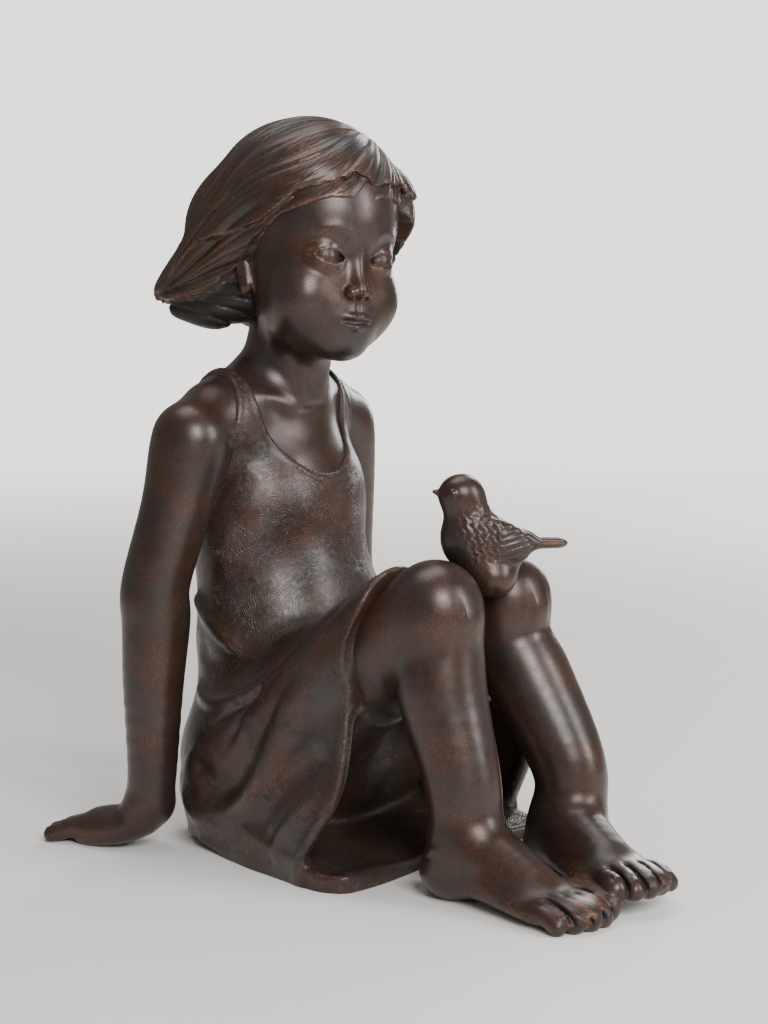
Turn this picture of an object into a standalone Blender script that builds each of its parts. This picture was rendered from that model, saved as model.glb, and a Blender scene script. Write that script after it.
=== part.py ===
"""
Seated girl with a bird on her knees: a statuette cast in one piece.

The figure is laid out as a modeller in clay would build it, mass on mass. Every mass is a
smooth depth function: negative inside, positive outside, in parts of the figure's height.
Their blend is worked out on a grid, gets a closed skin where it is 0, and the skin is pressed onto it.
Her front faces -Y, her left is +X, the floor is z = 0.
"""
import bpy
import bmesh
import math
import numpy as np
from mathutils import Euler, Matrix

# Driving sizes, in metres
HEIGHT = 0.450              # floor to the top of her hair
CLOTH = 0.0032              # how far the dress stands off the skin
HEM = 0.0060                # thickness of the skirt's free edge
FLOOR_CLOTH = 0.0100        # thickness of the cloth that lies on the floor
BIRD_LENGTH = 0.082         # beak to the end of the tail
TAIL_THICKNESS = 0.0062
LOCK_RELIEF = 0.0016        # depth of the grooves between locks of hair

# The layout: the figure is PARTS high
PARTS = 438.3
PART = HEIGHT / PARTS
CENTRE_X = -4.8             # the middle of the figure's footprint, in parts
CENTRE_Y = -6.7

# Fineness of the solid: grid step in metres, and faces
VOXEL = 0.0027
TRIANGLES = 9300

FAR = 1.0e3


def parts(metres):
    """A real size in parts of the figure's height."""
    return metres / PART


def length_of(vectors):
    return np.sqrt(np.einsum("ij,ij->i", vectors, vectors))


def joined(a, b, blend):
    """Two depths run together over the width blend."""
    if blend <= 0:
        return np.minimum(a, b)
    share = np.clip(0.5 + 0.5 * (b - a) / blend, 0, 1)
    return b * (1 - share) + a * share - blend * share * (1 - share)


def kept(a, b, blend):
    """What lies in both depths, with an edge rounded over blend."""
    return -joined(-a, -b, blend)


def turned(degrees):
    return np.array(Euler([math.radians(a) for a in degrees], "XYZ").to_matrix(), float)


def through(points, steps=3):
    """A smooth path through rows of numbers."""
    rows = np.array(points, float)
    if len(rows) == 2:
        return rows
    ends = np.vstack([2 * rows[0] - rows[1], rows, 2 * rows[-1] - rows[-2]])
    path = []
    for a, b, c, d in zip(ends, ends[1:], ends[2:], ends[3:]):
        for step in range(steps):
            t = step / steps
            path.append(0.5 * (2 * b + (c - a) * t + (2 * a - 5 * b + 4 * c - d) * t ** 2
                               + (3 * b - a - 3 * c + d) * t ** 3))
    path.append(rows[-1])
    return np.array(path)


class Mass:
    """A depth function with the ball that holds it, and how widely it blends."""

    def __init__(self, form, centre, reach, blend):
        self.form = form
        self.centre = np.array(centre, float)
        self.reach = reach
        self.blend = blend


def egg(centre, radii, turn=(0, 0, 0), blend=8.0):
    middle = np.array(centre, float)
    size = np.array(radii, float)
    axes = turned(turn)

    def form(p):
        q = (p - middle) @ axes
        k = length_of(q / size)
        return k * (k - 1) / np.maximum(length_of(q / size ** 2), 1e-6)
    return Mass(form, middle, size.max(), blend)


def limb(path, radii, blend=8.0, flat=None, ratio=1.0, steps=3):
    """A round limb along a path. Along flat, a direction, it is ratio times as thick."""
    rows = through([tuple(p) + (r,) for p, r in zip(path, radii)], steps)
    spine, size = rows[:, :3], rows[:, 3]
    middle = (spine.min(0) + spine.max(0)) / 2
    reach = length_of(spine - middle).max() + size.max() * max(ratio, 1.0)
    across = None
    if flat is not None:
        across = np.array(flat, float) / np.linalg.norm(flat)

    def form(p):
        best = np.full(len(p), FAR)
        for a, b, ra, rb in zip(spine, spine[1:], size, size[1:]):
            run = b - a
            out = p - a
            t = np.clip(out @ run / (run @ run), 0, 1)
            out = out - t[:, None] * run
            if across is not None:
                out = out + np.outer(out @ across * (1 / ratio - 1), across)
            best = np.minimum(best, length_of(out) - (ra + (rb - ra) * t))
        return best * (min(ratio, 1.0))
    return Mass(form, middle, reach, blend)


def depth(masses, p):
    """Distance to the blended masses, each worked out only near the point."""
    widest = max(mass.blend for mass in masses)
    d = np.full(len(p), FAR)
    for mass in masses:
        near = length_of(p - mass.centre) < mass.reach + widest + 12
        if near.any():
            d[near] = joined(d[near], mass.form(p[near]), mass.blend)
    return d


def ridge(path, width, height, steps=4):
    """A raised line (or a groove, for a negative height) along a path."""
    spine = through(path, steps)
    middle = (spine.min(0) + spine.max(0)) / 2
    reach = length_of(spine - middle).max() + 2.5 * width

    def lift(p):
        out = np.zeros(len(p))
        near = length_of(p - middle) < reach
        if not near.any():
            return out
        q = p[near]
        best = np.full(len(q), FAR)
        fade = np.zeros(len(q))
        last = len(spine) - 1
        for i, (a, b) in enumerate(zip(spine, spine[1:])):
            run = b - a
            t = np.clip((q - a) @ run / (run @ run), 0, 1)
            gap = length_of(q - a - t[:, None] * run)
            closer = gap < best
            best[closer] = gap[closer]
            fade[closer] = (i + t[closer]) / last
        ends = np.clip(np.minimum(fade, 1 - fade) * 6, 0.15, 1)
        out[near] = height * ends * np.exp(-(best / width) ** 2)
        return out
    return lift


def placed(p, origin, turn):
    """Points p as seen from a frame that stands at origin, turned so."""
    return (p - np.array(origin, float)) @ turned(turn)


# The torso: seat, belly, chest and the shoulder girdle
def torso():
    return [
        egg((0, 72, 50), (77, 66, 57), blend=0),
        egg((0, 80, 122), (62, 50, 64), blend=26),
        egg((0, 92, 196), (61, 44, 66), (6, 0, 8), blend=22),
        limb([(-54, 90, 259), (0, 98, 266), (54, 112, 256)], [24, 28, 24], blend=20),
    ]


def neck():
    return [
        limb([(0, 98, 258), (1, 86, 290), (3, 74, 335)], [35, 27, 28], blend=26),
    ]


# Her arms hang back and out, and the flat hands prop her up behind
RIGHT_ARM = dict(shoulder=(-77, 86, 248), elbow=(-95, 99, 150), wrist=(-98, 101, 48), side=-1)
LEFT_ARM = dict(shoulder=(75, 116, 245), elbow=(84, 122, 148), wrist=(88, 124, 48), side=1)


def arm(shoulder, elbow, wrist, side):
    s, e, w = (np.array(v, float) for v in (shoulder, elbow, wrist))

    def by(point, out, back, up):
        return tuple(point + np.array((side * out, back, up)))

    def hand(out, back, z):
        return (w[0] + side * out, w[1] + back, z)
    masses = [
        limb([by(s, 0, 0, 0), by(s, 8, 4, -38), by(e, 0, 0, 12), by(e, 0, 0, -10), by(e, 2, 1, -48),
              by(w, 0, 0, 0), by(w, 0, 4, -20)],
             [24.5, 21.5, 20.5, 20.5, 18.5, 15, 14], blend=9),
        limb([hand(0, 4, 24), hand(4, 16, 14), hand(11, 34, 10)],
             [14.5, 16, 17], blend=9, flat=(0, 0.4, 1), ratio=0.72),
        limb([hand(4, 4, 17), hand(14, 16, 11), hand(20, 32, 6.5), hand(21, 41, 4.4)],
             [8.5, 8, 6.5, 5.2], blend=4),
    ]
    for spread, reach in ((19, 57), (12, 62), (4, 60), (-4, 54)):
        knuckle = hand(4 + spread * 0.62, 33, 10)
        tip = hand(11 + spread * 1.15, reach, 4.2)
        middle = ((knuckle[0] + tip[0]) / 2, (knuckle[1] + tip[1]) / 2, 9.5)
        masses.append(limb([knuckle, middle, tip], [7.4, 6.4, 4.8], blend=2.5))
    return masses


# Her legs: thighs up from the seat, knees together, feet flat in front
HIP = (38, 62, 58)
RIGHT_LEG = dict(knee=(-40, -80, 163), ankle=(-42, -103, 40), heel=(-43, -96, 0), turn=3, rise=0, side=-1, cap=25)
LEFT_LEG = dict(knee=(32, -70, 159), ankle=(37, -114, 40), heel=(34, -107, 0), turn=-19, rise=6, side=1,
                cap=24)


def leg(knee, ankle, heel, turn, rise, side, cap):
    kx, ky, kz = knee
    ax, ay, az = ankle
    hx, hy, hz = HIP
    calf = (kx + (ax - kx) * 0.4 + side * 1, ky + (ay - ky) * 0.4 + 5, kz + (az - kz) * 0.4)
    masses = [
        limb([(side * hx, hy, hz), (side * hx, hy - 60, hz + 44), (kx, ky + 30, kz - 20), (kx, ky + 4, kz - 2)],
             [42, 35, cap + 3, cap], blend=12),
        limb([(kx, ky + 2, kz + 1), (kx, ky - 1, kz - 26), calf, (ax, ay + 3, az + 26), (ax, ay, az - 6)],
             [cap, cap - 0.5, 25.5, 22, 20], blend=12),
    ]
    return masses + foot(heel, turn, rise, side)


def foot(heel, turn, rise, side):
    """Laid out from the heel, toes towards -Y, then turned inward and raised."""
    axes = turned((-rise, 0, turn))

    def at(x, y, z):
        q = axes @ np.array((-side * x, y, z), float)
        return tuple(np.array(heel, float) + q)
    masses = [
        egg(at(0, 0, 15), (20, 21, 17), blend=10),
        limb([at(0, -8, 30), at(1, -28, 24), at(1, -54, 15)], [21, 19, 15], blend=10),
        limb([at(2, -34, 12), at(0, -66, 9), at(-1, -80, 8)], [19, 24, 22], blend=10, flat=(0, 0, 1), ratio=0.42),
    ]
    for i, reach in enumerate((99, 102, 101, 97, 92)):
        across = 17 - i * 8.9
        size = 7.6 if i == 0 else 6.3 - 0.25 * i
        root = at(across * 0.94, -reach + 30, 9.0)
        knuckle = at(across * 1.04, -reach + 16, 10.0 if i else 9.0)
        tip = at(across * 1.08, -reach + size, size * 0.85)
        masses.append(limb([root, knuckle, tip], [size * 0.8, size * 0.92, size], blend=1.6))
    return masses


# The dress: a sleeveless bodice, a lap over both thighs and sides that fall to the floor
HEM_LINE = ((-48, 180), (-47, 165), (-41, 148), (-39, 131), (-41, 109), (-44, 88), (-45, 66),
            (-41, 48), (-31, 30), (-23, 16), (-20, 3))          # (y, z) of the free edge at her side
SIDE_FRONT = ((0, 94), (16, 95), (30, 92), (66, 84), (109, 73), (148, 61), (165, 52), (182, 36))
SIDE_HIP = ((0, 56), (4, 67), (10, 76), (26, 84), (55, 84), (100, 74), (150, 60), (190, 52))   # (z, half width)
HIP_Y = 60.0
FRONT_Y = -45.0
HEM_ROLL = 1.3              # how far the rolled edge stands off the skirt


def smooth_table(pairs, values):
    table = through(pairs, 6)
    return np.interp(values, table[:, 0], table[:, 1])


def hem_y(z):
    table = through([(z_, y_) for y_, z_ in reversed(HEM_LINE)], 6)
    return np.interp(z, table[:, 0], table[:, 1])


ARMHOLES = ((-1, (-62, 88, 240)), (1, (60, 110, 240)))    # side, and a point of the armhole's plane


def side_width(y, z):
    """Half width of the skirt at depth y and height z. It closes in behind her hips."""
    s = np.clip((y - FRONT_Y) / (HIP_Y - FRONT_Y), 0, 1)
    s = s * s * (3 - 2 * s)
    wide = smooth_table(SIDE_FRONT, z) * (1 - s) + smooth_table(SIDE_HIP, z) * s
    return wide * np.sqrt(1 - np.clip((y - HIP_Y) / 82, 0, 0.95) ** 2)


def thigh_top(y):
    return 56 + (66 - y) * 0.741


def skirt_side(p, lift):
    """The sheet at either side, from the thighs to the floor, bent outwards by lift."""
    x, y, z = np.abs(p[:, 0]) - lift, p[:, 1], p[:, 2]
    wide = side_width(y, z)
    slope = (side_width(y, z + 1) - wide) ** 2 + (side_width(y + 1, z) - wide) ** 2
    half = parts(HEM) / 2
    sheet = np.abs(x - wide + half) / np.sqrt(1 + slope) - half
    edge = y - hem_y(z)
    sheet = kept(sheet, -edge, 3)
    sheet = sheet - HEM_ROLL * np.exp(-((edge - 4) / 3.5) ** 2)
    sheet = kept(sheet, y - 124, 4)
    return kept(sheet, z - thigh_top(y) - 12, 8)


def floor_cloth(p):
    """The cloth between her feet and the seat, with its blunt front edge."""
    x, y, z = p[:, 0], p[:, 1], p[:, 2]
    thick = parts(FLOOR_CLOTH) + np.interp(y, (-40, 0, 40), (0, 6, 15)) + 1.6 * np.sin(x * 0.07)
    front = -46 + 5 * np.sin((x + 20) * 0.035) + 8 * np.clip((np.abs(x) - 78) / 14, 0, 1) ** 2
    width = np.interp(y, (-40, 26, 79, 104, 128), (93, 88, 79, 66, 30))
    flat = kept(np.abs(x) - width, front - y, 12)
    flat = kept(flat, y - 118, 10)
    rim = 3 * np.clip((y - 20) / 60, 0, 1) * np.clip((np.abs(x) - width + 24) / 24, 0, 1)
    flat = kept(flat, z - thick, 3)
    return kept(flat, -z - 4 + 3 * rim, 2)


# Folds at her side: path, width and height. Her left side repeats the first three.
FOLDS = (
    (((-57, 112, 152), (-61, 94, 140), (-64, 76, 130), (-62, 58, 120)), 4.0, 4.6),
    (((-60, 108, 97), (-74, 73, 90), (-76, 43, 100), (-76, 24, 110), (-74, 13, 123)), 3.6, 4.4),
    (((-84, 100, 40), (-83, 83, 24), (-83, 58, 24), (-85, 34, 38), (-85, 20, 56), (-82, 8, 80), (-80, -4, 105),
      (-78, -16, 126)), 7.0, 7.4),
    (((-60, 100, 120), (-66, 78, 112), (-70, 50, 112)), 8.0, -2.6),
    (((-82, 68, 78), (-79, 53, 87), (-79, 32, 99)), 2.0, -2.4),
    (((-82, 60, 74), (-80, 46, 82), (-80, 32, 92)), 2.2, 1.8),
    (((-62, -26, 161), (-68, -9, 145), (-70, 9, 130), (-76, 24, 110), (-81, 39, 90), (-85, 50, 65)), 2.6, -3.4),
    (((-66, -34, 155), (-71, -17, 138), (-74, 1, 120), (-79, 16, 102), (-83, 31, 82)), 6.0, 2.6),
    (((-80, 84, 62), (-85, 62, 46), (-86, 42, 50), (-82, 26, 78)), 9.0, -4.6),
    (((-80, -32, 81), (-83, -18, 68), (-86, -3, 55), (-87, 14, 37), (-85, 25, 22)), 8.0, -3.0),
    (((-86, -30, 56), (-88, -14, 40), (-90, 0, 22), (-91, -2, 8)), 4.0, 2.6),
    (((-88, 7, 28), (-88, 9, 16), (-90, 4, 6)), 2.0, -2.0),
)
FOLD_LIFTS = [ridge(path, width, height, 2) for path, width, height in FOLDS]
FOLD_LIFTS += [ridge([(-x, y, z) for x, y, z in path], width, height * 0.8, 2) for path, width, height in FOLDS[:3]]
# The dress hangs in three soft folds down her back
FOLD_LIFTS += [ridge([(x * 0.7, 142, 190), (x, 140, 120), (x * 1.2, 136, 50)], 9.0, 2.4, 2) for x in (-34, 2, 36)]


def neckline(p):
    """Negative where the dress is cut out at the neck."""
    front = np.clip((100 - p[:, 1]) / 24, 0, 1)
    dip = 30 + 32 * front
    return (np.sqrt(((p[:, 0] - 2) / 45) ** 2 + ((p[:, 2] - 286) / dip) ** 2) - 1) * 34


def armhole(p, side, root):
    """Negative on the body's side of the armhole's plane."""
    out = (p - np.array(root, float)) @ np.array((side * 0.95, 0.1, 0.26))
    return np.where(p[:, 2] > 175, out, -FAR)


def dress(p):
    lift = sum(fold(p) for fold in FOLD_LIFTS)
    scoop = neckline(p)
    edge = scoop
    for side, root in ARMHOLES:
        edge = np.minimum(edge, np.where(p[:, 2] > 175, -armhole(p, side, root), FAR))
    seat = depth(torso(), p) - parts(CLOTH) * (0.5 + 0.5 * np.clip(edge / 16, 0, 1))
    lap = FAR * np.ones(len(p))
    for side in (-1, 1):
        thigh = limb([(side * 40, 62, 58), (side * 40, 2, 104), (side * 40, -46, 140), (side * 40, -70, 158)],
                     [44, 40, 36, 33], blend=16)
        lap = joined(lap, depth([thigh], p), 22)
    lap = kept(lap, hem_y(p[:, 2]) - p[:, 1], 3)
    cloth = joined(seat, lap, 20) - lift
    cloth = joined(cloth, skirt_side(p, lift), 9)
    cloth = joined(cloth, floor_cloth(p), 8)
    for side, root in ARMHOLES:
        cloth = kept(cloth, armhole(p, side, root), 0.8)
    return kept(cloth, -scoop, 0.8)


# The head, in its own frame: ears level, face towards -Y
HEAD = (5, 64, 362)
HEAD_TURN = (3, 6, -10)


def with_eye(face, q, side):
    """The face with an eyeball under two lids that leave an almond open between them."""
    ball = q - np.array((side * 19.0, -37.0, -6.0))
    far_out = length_of(ball)
    across, up = ball[:, 0], ball[:, 2] - side * ball[:, 0] * 0.05
    opening = np.maximum(length_of(np.stack((across, up + 8.6), 1)) - 13.4,
                         length_of(np.stack((across, up - 11.0), 1)) - 14.6)
    lids = joined(face, far_out - 10.7, 5.0)
    lids = kept(lids, -np.maximum(opening, ball[:, 1]), 0.6)
    return joined(lids, far_out - 9.8, 0.6)


def ear(side):
    return [
        limb([(side * 42, 3, 2), (side * 46, 9, 5), (side * 49, 14, -4), (side * 47, 11, -17), (side * 43.5, 4, -28)],
             [3.2, 3.4, 3.4, 3.2, 3.4], blend=3),
        limb([(side * 42, 7, -4), (side * 44.5, 9, -12), (side * 43, 5, -22)], [5, 5, 4], blend=3),
        egg((side * 43.5, 4.5, -29), (3.6, 5, 6), blend=3),
    ]


def head(p):
    q = placed(p, HEAD, HEAD_TURN)
    masses = [
        egg((0, 6, 16), (49, 57, 54), blend=0),
        egg((0, -10, -26), (41, 39, 39), blend=15),
        egg((0, -22, -46), (31, 26, 18), blend=14),
        egg((0, -39, -56), (14, 12, 10), blend=10),
        egg((0, -43, -42), (16, 8, 11), blend=8),
        limb([(0, -44, -2), (0, -48.5, -14), (0, -52.5, -23.5)], [4.2, 3.6, 4.8], blend=6),
    ]
    for side in (-1, 1):
        masses.append(egg((side * 25, -28, -30), (16, 17, 18), blend=11))
        masses.append(egg((side * 5.6, -50.5, -25.5), (3.6, 4.4, 3.8), blend=2.5))
    d = depth(masses, q)
    for side in (-1, 1):
        socket = (q - np.array((side * 17.5, -48, -5))) / np.array((13, 12, 9))
        d = d + 4.0 * np.exp(-(socket ** 2).sum(1) * 1.2)
        d = with_eye(d, q, side)
        d = joined(d, depth(ear(side), q), 3)
        d = d - BROW[side](q) - LID_FOLD[side](q) - NOSTRIL[side](q)
    lips = [
        limb([(-11, -48.0, -41.4), (-4, -51.6, -39.6), (0, -51.3, -40.2), (4, -51.6, -39.6), (11, -48.0, -41.4)],
             [1.1, 2.2, 1.9, 2.2, 1.1], blend=1.6),
        limb([(-9, -48.4, -43.6), (0, -51.4, -45.2), (9, -48.4, -43.6)], [1.3, 2.9, 1.3], blend=1.6),
    ]
    d = joined(d, depth(lips, q), 2)
    return d - MOUTH_LINE(q) - PHILTRUM(q)


MOUTH_LINE = ridge([(-12, -48.6, -42), (-5, -52.6, -42.3), (0, -53.6, -42.6), (5, -52.6, -42.3), (12, -48.6, -42)],
                   1.3, -1.9)
PHILTRUM = ridge([(0, -51.5, -30), (0, -52, -37)], 1.6, -0.7)
BROW = {side: ridge([(side * 7, -51, 6), (side * 18, -49, 11.5), (side * 31, -40, 8)], 3.6, 0.9)
        for side in (-1, 1)}
LID_FOLD = {side: ridge([(side * 9.5, -44, -4), (side * 18, -48.5, 1.6), (side * 28, -42, -3)], 1.2, -0.8)
            for side in (-1, 1)}
NOSTRIL = {side: ridge([(side * 3.2, -54.5, -28.4), (side * 4.6, -52.5, -29)], 1.5, -1.8) for side in (-1, 1)}


# Her hair is swept from a parting above her left brow, round and over the head, to a flip
# behind her right ear. The sweep runs along an axis between those two places.
PARTING = np.array((38.0, 0.0, 74.0))
FLIP = np.array((-72.0, 56.0, -40.0))
SWEEP = (FLIP - PARTING) / np.linalg.norm(FLIP - PARTING)
CAP_EDGE = np.array((-50.0, -18.0, 16.0)) - PARTING     # the cap's lower edge passes here
DOWN = (CAP_EDGE - SWEEP * (CAP_EDGE @ SWEEP)) / np.linalg.norm(CAP_EDGE - SWEEP * (CAP_EDGE @ SWEEP))
OVER = np.cross(SWEEP, DOWN)
# Lines round the head: degrees from her nose towards her right, and height
FACE_LINE = ((-180, -80), (-84, -80), (-78, -50), (-70, -22), (-62, 0), (-50, 20), (-36, 30), (-18, 33),
             (-4, 30), (8, 29), (21, 30), (30, 27), (42, 21), (50, 16), (56, 9), (65, -1), (72, -11), (77, -22),
             (81, -36), (86, -80), (180, -80))
CAP_LINE = ((-180, -46), (-150, -30), (-120, -8), (-90, 14), (-60, 32), (-40, 40), (-18, 41), (-4, 38), (2, 42), (9, 44),
            (19, 40), (29, 35), (38, 32), (45, 27), (52, 20), (62, 11), (73, 5), (87, 0), (97, -5), (103, -11),
            (108, -20), (113, -31), (117, -39), (126, -46), (150, -47), (180, -46))
SIDE_LINE = ((-180, -49), (-124, -45), (-100, -35), (-87, -19), (-69, -3), (-60, 8), (60, 8), (69, -3), (79, -11),
             (87, -19), (95, -28), (100, -35), (104, -40), (111, -42), (124, -45), (180, -49))


def step_up(x, width):
    t = np.clip(x / width + 0.5, 0, 1)
    return t * t * (3 - 2 * t)


def above(q, line):
    """Height over a line round the head, given as pairs: degrees from her nose towards her right, height."""
    out = np.hypot(q[:, 0], 12 - q[:, 1]) + 1
    azimuth = np.degrees(np.arctan2(-q[:, 0], 12 - q[:, 1]))
    at, heights = zip(*line)
    here = np.interp(azimuth, at, heights)
    slope = np.degrees(np.interp(azimuth + 1, at, heights) - here) / out
    return (q[:, 2] - here) / np.sqrt(1 + slope ** 2)


def hair(p):
    q = placed(p, HEAD, HEAD_TURN)
    masses = [
        egg((0, 13, 16), (56, 66, 58), blend=0),
        egg((0, 34, -16), (54, 47, 46), blend=16),
        egg((-36, 42, 4), (24, 24, 30), blend=14),
        egg((44, -4, 18), (14, 30, 30), blend=10),
        limb([(44, -6, 18), (44, -8, -8), (40, -4, -32)], [13, 11, 7], blend=8),
        limb([(-38, 8, 10), (-52, 26, -10), (-61, 43, -29), (-67, 52, -38)], [17, 17, 13, 7], blend=12),
        limb([(-32, 22, -32), (-47, 34, -44), (-62, 44, -48)], [20, 19, 11], blend=10),
        limb([(0, 58, -14), (-26, 62, -34), (-54, 54, -44)], [26, 20, 12], blend=14),
    ]
    d = depth(masses, q)
    run = q - PARTING
    run_share = run @ SWEEP / np.linalg.norm(FLIP - PARTING)
    down, over = run @ DOWN, run @ OVER
    angle = np.arctan2(over, down)
    # the cap lies over the side locks and the fringe, and the side locks over the dark underlayer
    cap = above(q, CAP_LINE)
    side_locks = above(q, SIDE_LINE)
    lift = 2.9 * step_up(cap, 2.0) + 3.0 * step_up(side_locks, 2.0) - 3.8
    # locks: wide rounded ridges between sharp valleys that wander, begin and end
    wander = 0.8 * np.sin(angle * 2 + 6 * run_share) + 0.45 * np.sin(9 * run_share - angle * 3)
    wide = np.clip(np.sqrt(down ** 2 + over ** 2) / 30, 0.2, 1)
    deep = 0.5 + 0.5 * np.sin(angle * 4 + 8 * run_share + 2 * np.sin(angle * 11))
    valley = (1 - np.abs(np.sin(angle * 7.5 + wander)) ** 0.9) * (0.35 + 0.65 * deep)
    d = d - lift + parts(LOCK_RELIEF) * 2.4 * wide * valley * step_up(side_locks, 1.2)
    # the face and neck stay open
    return kept(d, -above(q, FACE_LINE), 1.6)


# The bird sits in the groove between her knees, looking back at her
BIRD = (1, -80, 199)
BIRD_HEADING = 56.0         # degrees from +Y towards -X
BIRD_PARTS = 86.0           # its length in the layout below


def bird(p):
    """Own frame: beak towards +Y, tail towards -Y."""
    scale = parts(BIRD_LENGTH) / BIRD_PARTS
    q = placed(p, BIRD, (0, 0, BIRD_HEADING)) / scale
    masses = [
        egg((0, 4, -6), (17, 25, 20), (24, 0, 0), blend=0),
        egg((0, 12, 4), (15, 16, 20), blend=8),
        egg((0, -1, -24), (20, 17, 14), blend=8),
        egg((0, 17, 26), (13, 14.5, 13), blend=9),
        egg((0, -14, -6), (11, 17, 10), (-12, 0, 0), blend=8),
        limb([(0, 28, 27), (0, 34, 28.5)], [3.4, 1.4], blend=2),
        limb([(0, -18, -5), (0, -44, -5.5)], [8, 6.5], blend=4, flat=(0, 0, 1),
             ratio=parts(TAIL_THICKNESS) / (2 * 6.5 * scale)),
    ]
    for side in (-1, 1):
        masses.append(egg((side * 12, -2, -1), (6, 23, 13), (18, 0, side * 7), blend=2.5))
        masses.append(egg((side * 9, 24.5, 28), (3, 3, 3), blend=1))
    return depth(masses, q) * scale


def skin(p):
    masses = neck() + arm(**RIGHT_ARM) + arm(**LEFT_ARM) + leg(**RIGHT_LEG) + leg(**LEFT_LEG)
    flesh = joined(depth(masses, p), depth(torso()[1:], p), 10)
    return joined(flesh, head(p), 8)


def statuette(p):
    whole = joined(skin(p), dress(p), 1.5)
    whole = joined(whole, hair(p), 1.5)
    whole = joined(whole, bird(p), 4)
    return kept(whole, -p[:, 2] - 3, 0)


def skinned(shape, low, step):
    """Node tree: depths kept on a grid of points fill a volume cube, which gets a skin at depth 0."""
    tree = bpy.data.node_groups.new("skinned", "GeometryNodeTree")
    for way in ("INPUT", "OUTPUT"):
        tree.interface.new_socket("Geometry", in_out=way, socket_type="NodeSocketGeometry")

    def node(kind, links=(), **settings):
        made = tree.nodes.new(kind)
        for key, value in settings.items():
            setattr(made, key, value)
        for socket, source in dict(links).items():
            if isinstance(source, bpy.types.NodeSocket):
                tree.links.new(source, made.inputs[socket])
            else:
                made.inputs[socket].default_value = source
        return made

    grid = node("NodeGroupInput").outputs[0]
    place = node("GeometryNodeInputPosition").outputs[0]
    place = node("ShaderNodeVectorMath", {0: place, 1: low}, operation="SUBTRACT").outputs[0]
    place = node("ShaderNodeVectorMath", {0: place, "Scale": 1 / step}, operation="SCALE").outputs[0]
    place = node("ShaderNodeVectorMath", {0: place, 1: (0.5, 0.5, 0.5)}, operation="ADD").outputs[0]
    place = node("ShaderNodeVectorMath", {0: place}, operation="FLOOR").outputs[0]
    strides = (shape[1] * shape[2], shape[2], 1)
    index = node("ShaderNodeVectorMath", {0: place, 1: strides}, operation="DOT_PRODUCT").outputs["Value"]
    kept_depth = node("GeometryNodeInputNamedAttribute", {"Name": "depth"}, data_type="FLOAT").outputs[0]
    sample = node("GeometryNodeSampleIndex", {"Geometry": grid, "Value": kept_depth, "Index": index},
                  data_type="FLOAT", clamp=True)
    cube = node("GeometryNodeVolumeCube", {"Density": sample.outputs[0], "Background": -step,
                "Min": low, "Max": [a + (n - 1) * step for a, n in zip(low, shape)],
                "Resolution X": shape[0], "Resolution Y": shape[1], "Resolution Z": shape[2]})
    skin_node = node("GeometryNodeVolumeToMesh", {"Volume": cube.outputs[0], "Threshold": 0.0})
    node("NodeGroupOutput", {0: skin_node.outputs[0]})
    return tree


def settle(obj):
    """Applies the modifiers."""
    graph = bpy.context.evaluated_depsgraph_get()
    mesh = bpy.data.meshes.new_from_object(obj.evaluated_get(graph), depsgraph=graph)
    old = obj.data
    obj.modifiers.clear()
    obj.data = mesh
    bpy.data.meshes.remove(old)


def corners(obj):
    flat = np.empty(len(obj.data.vertices) * 3)
    obj.data.vertices.foreach_get("co", flat)
    return flat.reshape(-1, 3)


def press(obj, form, rounds):
    """Moves each corner of the mesh onto the form's surface."""
    p = corners(obj)
    step = 0.2
    for _ in range(rounds):
        here = form(p)
        slope = np.empty_like(p)
        for axis in range(3):
            moved = p.copy()
            moved[:, axis] += step
            slope[:, axis] = (form(moved) - here) / step
        travel = here / np.maximum((slope ** 2).sum(1), 0.2)
        p = p - slope * np.clip(travel, -3, 3)[:, None]
    obj.data.vertices.foreach_set("co", p.ravel())


def depths_on(form, axes, step):
    """The form's depth on a grid: everywhere coarsely, and finely near its surface."""
    coarse = 4
    rough_axes = [axis[::coarse] for axis in axes]
    rough = form(np.stack(np.meshgrid(*rough_axes, indexing="ij"), -1).reshape(-1, 3))
    rough = rough.reshape([len(axis) for axis in rough_axes])
    nearest = [np.minimum((np.arange(len(axis)) + coarse // 2) // coarse, len(r) - 1)
               for axis, r in zip(axes, rough_axes)]
    fine = rough[np.ix_(*nearest)].reshape(-1)
    grid = np.stack(np.meshgrid(*axes, indexing="ij"), -1).reshape(-1, 3)
    near = np.abs(fine) < coarse * step * 1.6
    fine[near] = form(grid[near])
    return grid, fine


def sculpted(name, form, low, high, step):
    """A closed mesh of the form inside the box from low to high, in steps of the grid."""
    axes = [a + step * np.arange(int((b - a) / step) + 2) for a, b in zip(low, high)]
    grid, depths = depths_on(form, axes, step)
    mesh = bpy.data.meshes.new(name)
    mesh.vertices.add(len(grid))
    mesh.vertices.foreach_set("co", grid.astype(np.float32).ravel())
    mesh.attributes.new("depth", "FLOAT", "POINT").data.foreach_set("value", -depths.astype(np.float32))
    obj = bpy.data.objects.new(name, mesh)
    casting.objects.link(obj)
    obj.modifiers.new("Skinned", "NODES").node_group = skinned([len(a) for a in axes], low, step)
    settle(obj)
    relax = obj.modifiers.new("Relax", "SMOOTH")
    relax.iterations = 1
    settle(obj)
    press(obj, form, 2)
    return obj


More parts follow.
